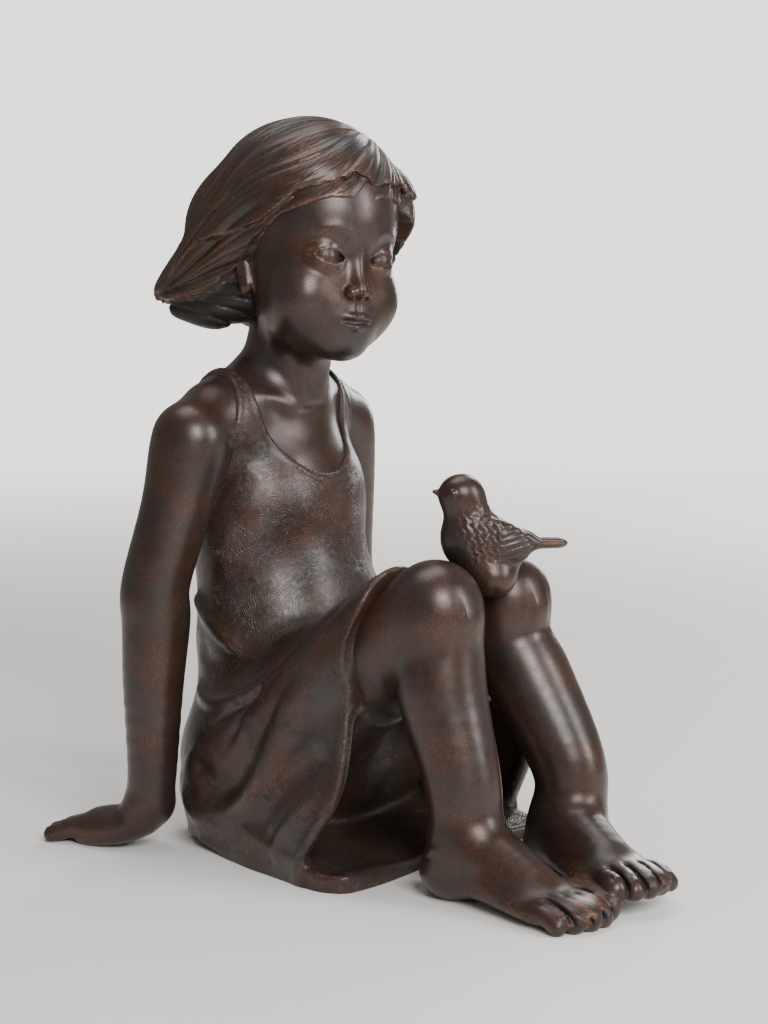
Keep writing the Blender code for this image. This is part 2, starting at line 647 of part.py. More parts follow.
def stood_on_the_floor(obj):
    """Cuts the undersides off flat at the floor."""
    solid = bmesh.new()
    solid.from_mesh(obj.data)
    everything = solid.verts[:] + solid.edges[:] + solid.faces[:]
    cut = bmesh.ops.bisect_plane(solid, geom=everything, dist=0.02, plane_co=(0, 0, 0),
                                 plane_no=(0, 0, 1), clear_inner=True)
    rims = [piece for piece in cut["geom_cut"] if isinstance(piece, bmesh.types.BMEdge)]
    bmesh.ops.holes_fill(solid, edges=rims)
    bmesh.ops.triangulate(solid, faces=solid.faces[:])
    bmesh.ops.recalc_face_normals(solid, faces=solid.faces[:])
    solid.to_mesh(obj.data)
    solid.free()


def at_real_size(obj):
    """From parts of the height to metres, with the footprint's middle at the origin."""
    obj.data.transform(Matrix.Scale(PART, 4) @ Matrix.Translation((-CENTRE_X, -CENTRE_Y, 0)))
    obj.data.shade_smooth()
    obj.data.set_sharp_from_angle(angle=math.radians(50))


def bronze_patina():
    material = bpy.data.materials.new("dark bronze patina")
    material.use_nodes = True
    shader = material.node_tree.nodes["Principled BSDF"]
    shader.inputs["Base Color"].default_value = (0.034, 0.021, 0.016, 1)
    shader.inputs["Metallic"].default_value = 0.35
    shader.inputs["Roughness"].default_value = 0.38
    return material


for old in list(bpy.data.objects):
    bpy.data.objects.remove(old, do_unlink=True)

casting = bpy.data.collections.new("child_and_bird_statuette")
bpy.context.scene.collection.children.link(casting)

BOX_LOW = (-150, -222, -6)
BOX_HIGH = (150, 205, 450)
girl = sculpted("girl_and_bird", statuette, BOX_LOW, BOX_HIGH, parts(VOXEL))
thin = girl.modifiers.new("Thin", "DECIMATE")
thin.ratio = TRIANGLES / sum(len(face.vertices) - 2 for face in girl.data.polygons)
settle(girl)
stood_on_the_floor(girl)
at_real_size(girl)
girl.data.materials.clear()
girl.data.materials.append(bronze_patina())
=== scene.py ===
"""
The finished look of the child and bird statuette: one dark patinated casting.

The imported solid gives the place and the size. Each section below models one region of the
casting at full detail, and all of them stand for that one solid.
Her front faces -Y, her left is +X, the floor is z = 0.
"""
import math
import bpy
import bmesh
import numpy as np
from mathutils import Euler, Matrix, Vector


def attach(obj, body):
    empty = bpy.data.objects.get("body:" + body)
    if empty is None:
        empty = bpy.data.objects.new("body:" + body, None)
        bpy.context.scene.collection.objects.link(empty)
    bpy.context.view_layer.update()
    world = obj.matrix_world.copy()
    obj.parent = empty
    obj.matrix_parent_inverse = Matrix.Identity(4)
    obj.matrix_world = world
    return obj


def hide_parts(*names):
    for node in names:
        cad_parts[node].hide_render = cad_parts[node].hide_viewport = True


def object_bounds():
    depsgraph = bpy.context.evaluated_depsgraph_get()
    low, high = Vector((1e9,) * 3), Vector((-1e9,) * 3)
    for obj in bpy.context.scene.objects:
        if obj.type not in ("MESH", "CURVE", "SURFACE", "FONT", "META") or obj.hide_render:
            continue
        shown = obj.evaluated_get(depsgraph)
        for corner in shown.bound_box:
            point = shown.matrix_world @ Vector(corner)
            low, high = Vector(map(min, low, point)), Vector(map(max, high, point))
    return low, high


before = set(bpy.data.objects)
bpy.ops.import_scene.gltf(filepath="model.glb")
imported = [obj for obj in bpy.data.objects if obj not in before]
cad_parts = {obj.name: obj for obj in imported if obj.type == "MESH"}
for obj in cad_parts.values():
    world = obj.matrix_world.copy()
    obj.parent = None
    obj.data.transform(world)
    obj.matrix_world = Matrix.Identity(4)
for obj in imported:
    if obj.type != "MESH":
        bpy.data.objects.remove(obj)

cad_low, cad_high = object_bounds()

# Head, shoulders and arms.
# The bare skin of the upper body, modelled in clay mass on mass and cast with the rest in
# metal. Smooth and burnished, with carved eyes, lips and ears, and flat hands that prop her up.
# Lengths are in parts of the figure's height. A form is a depth function: negative inside.
HEIGHT = round(cad_high.z, 3)
PARTS = 438.3
PART = HEIGHT / PARTS
CENTRE = np.array((-4.8, -6.7, 0.0))
FAR = 1.0e3


def length_of(vectors):
    return np.sqrt(np.einsum("ij,ij->i", vectors, vectors))


def joined(a, b, blend):
    """Two depths run together over the width blend."""
    if blend <= 0:
        return np.minimum(a, b)
    share = np.clip(0.5 + 0.5 * (b - a) / blend, 0, 1)
    return b * (1 - share) + a * share - blend * share * (1 - share)


def kept(a, b, blend):
    """What lies in both depths, with an edge rounded over blend."""
    return -joined(-a, -b, blend)


def turned(degrees):
    return np.array(Euler([math.radians(a) for a in degrees], "XYZ").to_matrix(), float)


def placed(p, origin, turn):
    """Points p as seen from a frame that stands at origin, turned so."""
    return (p - np.array(origin, float)) @ turned(turn)


def step_up(x, width):
    t = np.clip(x / width + 0.5, 0, 1)
    return t * t * (3 - 2 * t)


def through(points, steps=3):
    """A smooth path through rows of numbers."""
    rows = np.array(points, float)
    if len(rows) == 2:
        return rows
    ends = np.vstack([2 * rows[0] - rows[1], rows, 2 * rows[-1] - rows[-2]])
    path = []
    for a, b, c, d in zip(ends, ends[1:], ends[2:], ends[3:]):
        for step in range(steps):
            t = step / steps
            path.append(0.5 * (2 * b + (c - a) * t + (2 * a - 5 * b + 4 * c - d) * t ** 2
                               + (3 * b - a - 3 * c + d) * t ** 3))
    path.append(rows[-1])
    return np.array(path)


class Mass:
    """A depth function with the ball that holds it, and how widely it blends."""

    def __init__(self, form, centre, reach, blend):
        self.form = form
        self.centre = np.array(centre, float)
        self.reach = reach
        self.blend = blend


def egg(centre, radii, turn=(0, 0, 0), blend=8.0):
    middle = np.array(centre, float)
    size = np.array(radii, float)
    axes = turned(turn)

    def form(p):
        q = (p - middle) @ axes
        k = length_of(q / size)
        return k * (k - 1) / np.maximum(length_of(q / size ** 2), 1e-6)
    return Mass(form, middle, size.max(), blend)


def limb(path, radii, blend=8.0, flat=None, ratio=1.0, steps=5):
    """A round limb along a path. Along flat, a direction, it is ratio times as thick."""
    rows = through([tuple(p) + (r,) for p, r in zip(path, radii)], steps)
    spine, size = rows[:, :3], rows[:, 3]
    middle = (spine.min(0) + spine.max(0)) / 2
    reach = length_of(spine - middle).max() + size.max() * max(ratio, 1.0)
    across = None
    if flat is not None:
        across = np.array(flat, float) / np.linalg.norm(flat)

    def form(p):
        best = np.full(len(p), FAR)
        for a, b, ra, rb in zip(spine, spine[1:], size, size[1:]):
            run = b - a
            out = p - a
            t = np.clip(out @ run / (run @ run), 0, 1)
            out = out - t[:, None] * run
            if across is not None:
                out = out + np.outer(out @ across * (1 / ratio - 1), across)
            here = length_of(out) - (ra + (rb - ra) * t) * 0.96
            best = joined(best, here, 0.06 * (ra + rb))
        return best * min(ratio, 1.0)
    return Mass(form, middle, reach, blend)


def depth(masses, p):
    """Distance to the blended masses, each worked out only near the point."""
    widest = max(mass.blend for mass in masses)
    d = np.full(len(p), FAR)
    for mass in masses:
        near = length_of(p - mass.centre) < mass.reach + widest + 9
        if near.any():
            d[near] = joined(d[near], mass.form(p[near]), mass.blend)
    return d


def ridge(path, width, height, steps=4):
    """A raised line (or a groove, for a negative height) along a path."""
    spine = through(path, steps)
    middle = (spine.min(0) + spine.max(0)) / 2
    reach = length_of(spine - middle).max() + 2.5 * width

    def lift(p):
        out = np.zeros(len(p))
        near = length_of(p - middle) < reach
        if not near.any():
            return out
        q = p[near]
        best = np.full(len(q), FAR)
        fade = np.zeros(len(q))
        last = len(spine) - 1
        for i, (a, b) in enumerate(zip(spine, spine[1:])):
            run = b - a
            t = np.clip((q - a) @ run / (run @ run), 0, 1)
            gap = length_of(q - a - t[:, None] * run)
            closer = gap < best
            best[closer] = gap[closer]
            fade[closer] = (i + t[closer]) / last
        ends = np.clip(np.minimum(fade, 1 - fade) * 6, 0.15, 1)
        out[near] = height * ends * np.exp(-(best / width) ** 2)
        return out
    return lift


def total(lifts, p):
    return sum((lift(p) for lift in lifts), np.zeros(len(p)))


TORSO = [
    egg((0, 72, 50), (77, 66, 57), blend=0),
    egg((0, 80, 122), (62, 50, 64), blend=26),
    egg((0, 92, 196), (61, 44, 66), (6, 0, 8), blend=22),
    limb([(-54, 90, 259), (0, 98, 266), (54, 112, 256)], [24, 28, 24], blend=20),
]
NECK = limb([(0, 98, 258), (1, 86, 290), (3, 74, 335)], [35, 27, 28], blend=26)


def arm(shoulder, elbow, wrist, side):
    s, e, w = (np.array(v, float) for v in (shoulder, elbow, wrist))

    def by(point, out, back, up):
        return tuple(point + np.array((side * out, back, up)))

    def hand(out, back, z):
        return (w[0] + side * out, w[1] + back, z)
    masses = [
        limb([by(s, 0, 0, 0), by(s, 8, 4, -38), by(e, 0, 0, 12), by(e, 0, 0, -10), by(e, 2, 1, -48),
              by(w, 0, 0, 0), by(w, 0, 4, -20)],
             [24.5, 21.5, 20.5, 20.5, 18.5, 15, 14], blend=9),
        limb([hand(0, 4, 24), hand(4, 16, 14), hand(11, 34, 10)],
             [14.5, 16, 17], blend=9, flat=(0, 0.4, 1), ratio=0.72),
        limb([hand(4, 4, 17), hand(14, 16, 11), hand(20, 32, 6.5), hand(21, 41, 4.4)],
             [8.5, 8, 6.5, 5.2], blend=4),
    ]
    lifts = []
    for spread, reach in ((19, 57), (12, 62), (4, 60), (-4, 54)):
        knuckle = hand(4 + spread * 0.62, 33, 10)
        tip = hand(11 + spread * 1.15, reach, 4.2)
        middle = ((knuckle[0] + tip[0]) / 2, (knuckle[1] + tip[1]) / 2, 9.5)
        masses.append(limb([knuckle, middle, tip], [7.4, 6.4, 4.8], blend=2.5))
        along = np.array(tip) - np.array(knuckle)
        along /= np.linalg.norm(along)
        cross = np.array((along[1], -along[0], 0.0))
        for place, height in ((0.52, -0.5), (0.58, -0.5), (0.8, -0.4)):
            at = np.array(knuckle) * (1 - place) + np.array(tip) * place
            top = np.array((0, 0, 6.0))
            crease = [at + top - cross * 3.5, at + top * 1.1, at + top + cross * 3.5]
            lifts.append(ridge(crease, 1.1, height, 2))
        nail = np.array(tip) + along * 1.0
        plate = [nail + (0, 0, 4.6) - along * 2.6, nail + (0, 0, 4.0) + along * 2.4]
        lifts.append(ridge(plate, 2.4, 0.7, 2))
        lifts.append(ridge([by(w, 2 + spread * 0.1, 8, -18), hand(3 + spread * 0.4, 22, 22),
                            (knuckle[0], knuckle[1], 18)], 2.2, 0.8, 2))
    return masses, lifts


RIGHT_ARM, RIGHT_HAND_LIFTS = arm((-77, 86, 248), (-95, 99, 150), (-98, 101, 48), -1)
LEFT_ARM, LEFT_HAND_LIFTS = arm((75, 116, 245), (84, 122, 148), (88, 124, 48), 1)

# The head has a frame of its own: ears level, face towards -Y
HEAD = (5, 64, 362)
HEAD_TURN = (3, 6, -10)
SKULL = [
    egg((0, 6, 16), (49, 57, 54), blend=0),
    egg((0, -10, -26), (41, 39, 39), blend=15),
    egg((0, -22, -46), (31, 26, 18), blend=14),
    egg((0, -39, -56), (14, 12, 10), blend=10),
    egg((0, -43, -42), (16, 8, 11), blend=8),
    limb([(0, -44, -2), (0, -48.5, -14), (0, -52.5, -23.5)], [4.2, 3.6, 4.8], blend=6),
]
for side in (-1, 1):
    SKULL.append(egg((side * 25, -28, -30), (16, 17, 18), blend=11))
    SKULL.append(egg((side * 5.6, -50.5, -25.5), (3.6, 4.4, 3.8), blend=2.5))
LIPS = [
    limb([(-11, -48.0, -41.4), (-4, -51.6, -39.6), (0, -51.3, -40.2), (4, -51.6, -39.6),
          (11, -48.0, -41.4)],
         [1.1, 2.2, 1.9, 2.2, 1.1], blend=1.6),
    limb([(-9, -48.4, -43.6), (0, -51.4, -45.2), (9, -48.4, -43.6)], [1.3, 2.9, 1.3], blend=1.6),
]
FACE_LIFTS = [
    ridge([(-12, -48.6, -42), (-5, -52.6, -42.3), (0, -53.6, -42.6), (5, -52.6, -42.3),
           (12, -48.6, -42)], 1.3, -1.9),
    ridge([(0, -51.5, -30), (0, -52, -37)], 1.6, -0.7),
]
for side in (-1, 1):
    FACE_LIFTS += [
        ridge([(side * 7, -51, 6), (side * 18, -49, 11.5), (side * 31, -40, 8)], 3.6, 0.9),
        ridge([(side * 10, -44, -2.5), (side * 18, -48, 1.8), (side * 27.5, -42, -2)], 1.1, -0.7),
        ridge([(side * 3.2, -54.5, -28.4), (side * 4.6, -52.5, -29)], 1.5, -1.8),
    ]


def with_eye(face, q, side):
    """The face with an eyeball under two lids that leave an almond open between them."""
    ball = q - np.array((side * 19.0, -37.0, -6.0))
    far_out = length_of(ball)
    across, up = ball[:, 0], ball[:, 2] - side * ball[:, 0] * 0.05
    opening = np.maximum(length_of(np.stack((across, up + 8.6), 1)) - 13.4,
                         length_of(np.stack((across, up - 11.0), 1)) - 14.6)
    lids = joined(face, far_out - 10.7, 5.0)
    lids = kept(lids, -np.maximum(opening, ball[:, 1]), 0.6)
    iris = np.hypot(across, up - 0.5)
    ring = 0.12 * np.exp(-((iris - 4.4) / 0.7) ** 2)
    return joined(lids, far_out - 9.8 + ring, 0.6)


def ear(side):
    return [
        limb([(side * 42, 3, 2), (side * 46, 9, 5), (side * 49, 14, -4), (side * 47, 11, -17),
              (side * 43.5, 4, -28)],
             [3.2, 3.4, 3.4, 3.2, 3.4], blend=3),
        limb([(side * 42, 7, -4), (side * 44.5, 9, -12), (side * 43, 5, -22)], [5, 5, 4], blend=3),
        egg((side * 43.5, 4.5, -29), (3.6, 5, 6), blend=3),
    ]


EARS = {side: ear(side) for side in (-1, 1)}
FACE_LINE = ((-180, -80), (-84, -80), (-78, -50), (-70, -22), (-62, 0), (-50, 20), (-36, 30), (-18, 33),
             (-4, 30), (8, 29), (21, 30), (30, 27), (42, 21), (50, 16), (56, 9), (65, -1),
             (72, -11), (77, -22), (81, -36), (86, -80), (180, -80))


def above(q, line):
    """Height over a line round the head: pairs of degrees from her nose towards her right, and height."""
    out = np.hypot(q[:, 0], 12 - q[:, 1]) + 1
    azimuth = np.degrees(np.arctan2(-q[:, 0], 12 - q[:, 1]))
    at, heights = zip(*line)
    here = np.interp(azimuth, at, heights)
    slope = np.degrees(np.interp(azimuth + 1, at, heights) - here) / out
    return (q[:, 2] - here) / np.sqrt(1 + slope ** 2)


def head(p):
    q = placed(p, HEAD, HEAD_TURN)
    d = depth(SKULL, q)
    for side in (-1, 1):
        socket = (q - np.array((side * 17.5, -48, -5))) / np.array((13, 12, 9))
        d = d + 4.0 * np.exp(-(socket ** 2).sum(1) * 1.2)
        d = with_eye(d, q, side)
        d = joined(d, depth(EARS[side], q), 3)
    d = joined(d, depth(LIPS, q), 2) - total(FACE_LIFTS, q)
    return kept(d, above(q, FACE_LINE) - 12, 0)


BODY_LIFTS = [
    ridge([(-10, 66, 262), (-34, 70, 272), (-60, 84, 270)], 4.5, 2.2),      # collarbones
    ridge([(12, 70, 261), (36, 82, 270), (58, 100, 268)], 4.5, 2.2),
    ridge([(-26, 74, 322), (-14, 66, 290), (-4, 64, 266)], 4.5, 2.0),       # neck tendons
    ridge([(26, 78, 318), (12, 68, 288), (4, 66, 266)], 4.5, 1.6),
    ridge([(0, 64, 266), (0, 62, 262)], 8.0, -1.4),                          # pit of the neck
    ridge([(-52, 70, 226), (-60, 66, 240), (-66, 68, 252)], 4.0, -2.0),      # crease before the armpit
]


def neckline(p):
    """Negative where the dress is cut out at the neck."""
    front = np.clip((100 - p[:, 1]) / 24, 0, 1)
    dip = 30 + 32 * front
    return (np.sqrt(((p[:, 0] - 2) / 45) ** 2 + ((p[:, 2] - 286) / dip) ** 2) - 1) * 34


ARMHOLES = ((-1, (-62, 88, 240)), (1, (60, 110, 240)))
ARMHOLE_LOW = 175


def armhole(p, side, root):
    """Negative on the body's side of the armhole's plane."""
    out = (p - np.array(root, float)) @ np.array((side * 0.95, 0.1, 0.26))
    return np.where(p[:, 2] > ARMHOLE_LOW, out, -FAR)


def upper_flesh(p):
    flesh = joined(depth([NECK] + RIGHT_ARM + LEFT_ARM, p), depth(TORSO[1:], p), 10)
    bare = np.minimum(neckline(p), 200 - p[:, 2])
    for side, root in ARMHOLES:
        bare = np.minimum(bare, -armhole(p, side, root))
    bare = np.minimum(bare, 62 - np.abs(p[:, 0]))
    flesh = kept(flesh, bare - 9, 0)
    flesh = joined(flesh, head(p), 8)
    return flesh - total(BODY_LIFTS + RIGHT_HAND_LIFTS + LEFT_HAND_LIFTS, p)


def add(tree, kind, inputs=(), out=0, **settings):
    """Adds a node, links or fills its inputs in order or by name, and hands back one output."""
    made = tree.nodes.new(kind if kind.startswith(("Geometry", "NodeGroup")) else "ShaderNode" + kind)
    for key, value in settings.items():
        setattr(made, key, value)
    for socket, source in inputs.items() if isinstance(inputs, dict) else enumerate(inputs):
        if isinstance(source, bpy.types.NodeSocket):
            tree.links.new(source, made.inputs[socket])
        else:
            made.inputs[socket].default_value = source
    return made.outputs[out] if made.outputs else made


def skinned(shape, low, step):
    """Node tree: depths kept on a grid of points fill a volume cube, which gets a skin at depth 0."""
    tree = bpy.data.node_groups.new("skinned", "GeometryNodeTree")
    for way in ("INPUT", "OUTPUT"):
        tree.interface.new_socket("Geometry", in_out=way, socket_type="NodeSocketGeometry")
    grid = add(tree, "NodeGroupInput")
    place = add(tree, "VectorMath", (add(tree, "GeometryNodeInputPosition"), low), operation="SUBTRACT")
    place = add(tree, "VectorMath", {0: place, "Scale": 1 / step}, operation="SCALE")
    place = add(tree, "VectorMath", (place, (0.5, 0.5, 0.5)), operation="ADD")
    place = add(tree, "VectorMath", (place,), operation="FLOOR")
    strides = (shape[1] * shape[2], shape[2], 1)
    index = add(tree, "VectorMath", (place, strides), "Value", operation="DOT_PRODUCT")
    known = add(tree, "GeometryNodeInputNamedAttribute", ("depth",), data_type="FLOAT")
    sample = add(tree, "GeometryNodeSampleIndex", {"Geometry": grid, "Value": known, "Index": index},
                 data_type="FLOAT", clamp=True)
    cube = add(tree, "GeometryNodeVolumeCube", {"Density": sample, "Background": -step,
               "Min": low, "Max": [a + (n - 1) * step for a, n in zip(low, shape)],
               "Resolution X": shape[0], "Resolution Y": shape[1], "Resolution Z": shape[2]})
    skin = add(tree, "GeometryNodeVolumeToMesh", {"Volume": cube, "Threshold": 0.0})
    add(tree, "NodeGroupOutput", (skin,))
    return tree


def settle(obj):
    """Applies the modifiers."""
    graph = bpy.context.evaluated_depsgraph_get()
    mesh = bpy.data.meshes.new_from_object(obj.evaluated_get(graph), depsgraph=graph)
    old = obj.data
    obj.modifiers.clear()
    obj.data = mesh
    bpy.data.meshes.remove(old)


def corners(mesh, normals=False):
    flat = np.empty(len(mesh.vertices) * 3)
    (mesh.vertex_normals if normals else mesh.vertices).foreach_get("vector" if normals else "co", flat)
    return flat.reshape(-1, 3)


def press(mesh, form, rounds):
    """Moves each corner of the mesh onto the form's surface."""
    p = corners(mesh)
    step = 0.15
    for _ in range(rounds):
        here = form(p)
        slope = np.empty_like(p)
        for axis in range(3):
            moved = p.copy()
            moved[:, axis] += step
            slope[:, axis] = (form(moved) - here) / step
        travel = here / np.maximum((slope ** 2).sum(1), 0.3)
        p = p - slope * np.clip(travel, -2, 2)[:, None]
    mesh.vertices.foreach_set("co", p.ravel())
    mesh.update()


def finer(grid_axes, known, coarse_axes):
    """Depths of a coarse grid read at the nearest places of a finer one."""
    nearest = [np.clip(np.rint((fine - rough[0]) / (rough[1] - rough[0])).astype(int), 0, len(rough) - 1)
               for fine, rough in zip(grid_axes, coarse_axes)]
    return known[np.ix_(*nearest)]


def depths_on(form, axes, step):
    """The form's depth on a grid, worked out finely only near its surface."""
    known, known_axes = None, None
    for coarse in (4, 2, 1):
        level = [axis[::coarse] for axis in axes]
        grid = np.stack(np.meshgrid(*level, indexing="ij"), -1).reshape(-1, 3)
        if known is None:
            depths = form(grid)
        else:
            depths = finer(level, known, known_axes).reshape(-1)
            near = np.abs(depths) < coarse * step * 3.2
            depths[near] = form(grid[near])
        known, known_axes = depths.reshape([len(axis) for axis in level]), level
    return grid, known.reshape(-1)


def sculpted(name, form, low, high, step, fine=()):
    """A closed mesh of the form inside a box, with halved faces inside the balls listed in fine."""
    axes = [a + step * np.arange(int((b - a) / step) + 2) for a, b in zip(low, high)]
    grid, depths = depths_on(form, axes, step)
    mesh = bpy.data.meshes.new(name)
    mesh.vertices.add(len(grid))
    mesh.vertices.foreach_set("co", grid.astype(np.float32).ravel())
    mesh.attributes.new("depth", "FLOAT", "POINT").data.foreach_set("value", -depths.astype(np.float32))
    obj = bpy.data.objects.new(name, mesh)
    bpy.context.scene.collection.objects.link(obj)
    obj.modifiers.new("Skinned", "NODES").node_group = skinned([len(a) for a in axes], low, step)
    settle(obj)
    relax = obj.modifiers.new("Relax", "SMOOTH")
    relax.iterations = 1
    settle(obj)
    solid = bmesh.new()
    solid.from_mesh(obj.data)
    for middle, reach in fine:
        inside = [edge for edge in solid.edges
                  if all((end.co - Vector(middle)).length < reach for end in edge.verts)]
        bmesh.ops.subdivide_edges(solid, edges=inside, cuts=1, use_grid_fill=True)
    solid.to_mesh(obj.data)
    solid.free()
    press(obj.data, form, 2)
    solid = bmesh.new()
    solid.from_mesh(obj.data)
    everything = solid.verts[:] + solid.edges[:] + solid.faces[:]
    cut = bmesh.ops.bisect_plane(solid, geom=everything, dist=0.02, plane_co=(0, 0, 0), plane_no=(0, 0, 1),
                                 clear_inner=True)
    rims = [piece for piece in cut["geom_cut"] if isinstance(piece, bmesh.types.BMEdge)]
    if solid.calc_volume(signed=True) < 0:
        bmesh.ops.reverse_faces(solid, faces=solid.faces[:])
    for face in bmesh.ops.holes_fill(solid, edges=rims)["faces"]:
        face.normal_update()
        if face.normal.z > 0:
            face.normal_flip()
    bmesh.ops.triangulate(solid, faces=[face for face in solid.faces if len(face.verts) > 4])
    solid.to_mesh(obj.data)
    solid.free()
    marked(obj.data, form)
    obj.data.transform(Matrix.Scale(PART, 4) @ Matrix.Translation(-Vector(CENTRE)))
    obj.data.shade_smooth()
    obj.data.set_sharp_from_angle(angle=math.radians(60))
    return obj


def marked(mesh, form, reach=2.6):
    """Keeps how hollow and how exposed each corner is, for the patina: recesses stay dark, edges wear. On
    the hair, swept adds painted shade under the side locks to the hollow values.
    """
    p, n = corners(mesh), corners(mesh, normals=True)
    hollow_and_painted_shade = 1 - form(p + n * reach) / reach
    worn = 1 + form(p - n * reach) / reach
    for name, values in (("hollow_and_painted_shade", hollow_and_painted_shade), ("worn", worn)):
        kept_values = np.clip(values, 0, 1).astype(np.float32)
        mesh.attributes.new(name, "FLOAT", "POINT").data.foreach_set("value", kept_values)


def linear(colour):
    """An sRGB hex colour as the linear colour that a socket takes."""
    channels = [int(colour[i:i + 2], 16) / 255 for i in (1, 3, 5)]
    return [c / 12.92 if c <= 0.04045 else ((c + 0.055) / 1.055) ** 2.4 for c in channels] + [1]


def patina(name, relief=None, relief_depth=0.0, shine=0.34,
           brown="#33241c", rust="#5f3a28", slate="#302d2c"):
    """Chemically darkened metal under wax: near black in recesses, rubbed to copper on edges."""
    material = bpy.data.materials.new(name)
    material.use_nodes = True
    tree = material.node_tree
    shader = tree.nodes["Principled BSDF"]
    mm = add(tree, "TexCoord", out="Object")
    mm = add(tree, "VectorMath", {0: mm, "Scale": 1000.0}, operation="SCALE")
    hollow_and_painted_shade = add(tree, "Attribute", out="Fac", attribute_name="hollow_and_painted_shade")
    worn = add(tree, "Attribute", out="Fac", attribute_name="worn")
    # slate and brown clouds 34 mm wide, with rust flecks of 0.9 mm gathered in drifts
    clouds = add(tree, "TexNoise", {"Vector": mm, "Scale": 1 / 34, "Detail": 3.0})
    clouds = add(tree, "MapRange", (clouds, 0.38, 0.62))
    colour = add(tree, "Mix", {0: clouds, 6: linear(brown), 7: linear(slate)}, 2, data_type="RGBA")
    drifts = add(tree, "TexNoise", {"Vector": mm, "Scale": 1 / 22, "Detail": 2.0})
    drifts = add(tree, "MapRange", (drifts, 0.36, 0.64, 0.1, 0.9))
    flecks = add(tree, "TexNoise", {"Vector": mm, "Scale": 1 / 0.9, "Detail": 2.0, "Roughness": 0.7})
    flecks = add(tree, "MapRange", (flecks, 0.44, 0.66))
    flecks = add(tree, "Math", (flecks, drifts), operation="MULTIPLY")
    colour = add(tree, "Mix", {0: flecks, 6: colour, 7: linear(rust)}, 2, data_type="RGBA")
    # near black in the patina's recesses, and on the hair also painted shade under the side locks
    darkened_hollow_and_shade = add(tree, "MapRange", (hollow_and_painted_shade, 0.18, 0.75, 0.0, 0.85))
    colour = add(tree, "Mix", {0: darkened_hollow_and_shade, 6: colour, 7: linear("#0c0908")}, 2, data_type="RGBA")
    # edges rubbed to bare metal in broken patches of about 2 mm
    patchy = add(tree, "TexNoise", {"Vector": mm, "Scale": 1 / 2.2, "Detail": 3.0})
    patchy = add(tree, "MapRange", (patchy, 0.38, 0.62, 0.0, 0.7))
    rubbed = add(tree, "Math", (add(tree, "MapRange", (worn, 0.3, 0.85)), patchy), operation="MULTIPLY")
    colour = add(tree, "Mix", {0: rubbed, 6: colour, 7: linear("#87583e")}, 2, data_type="RGBA")
    tree.links.new(colour, shader.inputs["Base Color"])
    # the wax shines unevenly and has worn off in the recesses
    smears = add(tree, "TexNoise", {"Vector": mm, "Scale": 1 / 5, "Detail": 3.0})
    smears = add(tree, "MapRange", (smears, 0.3, 0.7, shine - 0.05, shine + 0.09))
    dull = add(tree, "MapRange", (hollow_and_painted_shade, 0.1, 0.6, 0.0, 0.3))
    tree.links.new(add(tree, "Math", (smears, dull)), shader.inputs["Roughness"])
    shader.inputs["Metallic"].default_value = 0.35
    shader.inputs["Specular IOR Level"].default_value = 0.42
    shader.inputs["Coat Weight"].default_value = 0.3
    shader.inputs["Coat Roughness"].default_value = 0.3
    grain = add(tree, "TexNoise", {"Vector": mm, "Scale": 1 / 0.7, "Detail": 3.0, "Roughness": 0.6})
    bump = add(tree, "Bump", {"Height": grain, "Strength": 0.25, "Distance": 0.0002})
    if relief:
        bump = add(tree, "Bump", {"Height": relief(tree, mm), "Strength": 1.0, "Distance": relief_depth,
                                  "Normal": bump})
    tree.links.new(bump, shader.inputs["Normal"])
    return material


skin_patina = patina("burnished brown patina on bronze")
HAND_FINE = [((-108, 140, 8), 44), ((100, 164, 8), 44)]
FACE_FINE = [((2, 18, 352), 52)]
upper = sculpted("head_and_arms", upper_flesh, (-136, 2, -4), (128, 205, 422), 1.85, FACE_FINE + HAND_FINE)


def cast(piece, material):
    """The piece is part of the one casting."""
    piece.data.materials.clear()
    piece.data.materials.append(material)
    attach(piece, "root")
    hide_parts("girl_and_bird")


cast(upper, skin_patina)


# Legs and feet.
# Bare legs drawn up side by side, the feet flat in front. Solid metal of the same casting,
# burnished on the shins and knees, with carved toes and nails; the hip end is inside the dress.
HIP = (38, 62, 58)
HEM_LINE = ((-48, 180), (-47, 165), (-41, 148), (-39, 131), (-41, 109), (-44, 88), (-45, 66),
            (-41, 48), (-31, 30), (-23, 16), (-20, 3))          # (y, z) of the skirt's free edge
HEM_TABLE = through([(z, y) for y, z in reversed(HEM_LINE)], 6)


def leg(knee, ankle, heel, turn, rise, side, cap):
    kx, ky, kz = knee
    ax, ay, az = ankle
    hx, hy, hz = HIP
    calf = (kx + (ax - kx) * 0.4 + side * 1, ky + (ay - ky) * 0.4 + 5, kz + (az - kz) * 0.4)
    masses = [
        limb([(side * hx, hy, hz), (side * hx, hy - 60, hz + 44), (kx, ky + 30, kz - 20),
              (kx, ky + 4, kz - 2)],
             [42, 35, cap + 3, cap], blend=12),
        limb([(kx, ky + 2, kz + 1), (kx, ky - 1, kz - 26), calf, (ax, ay + 3, az + 26), (ax, ay, az - 6)],
             [cap, cap - 0.5, 25.5, 22, 20], blend=12),
    ]
    toes, lifts = foot(heel, turn, rise, side)
    lifts.append(ridge([(ax - side * 19, ay + 4, az - 4), (ax - side * 19, ay + 2, az - 8)], 7, 2.4, 2))
    lifts.append(ridge([(ax + side * 19, ay + 8, az - 8), (ax + side * 19, ay + 6, az - 12)], 6, 2.0, 2))
    lifts.append(ridge([(kx - side * 8, ky - 24, kz - 4), (kx + side * 8, ky - 24, kz - 4)], 9, 1.6, 2))
    return masses + toes, lifts


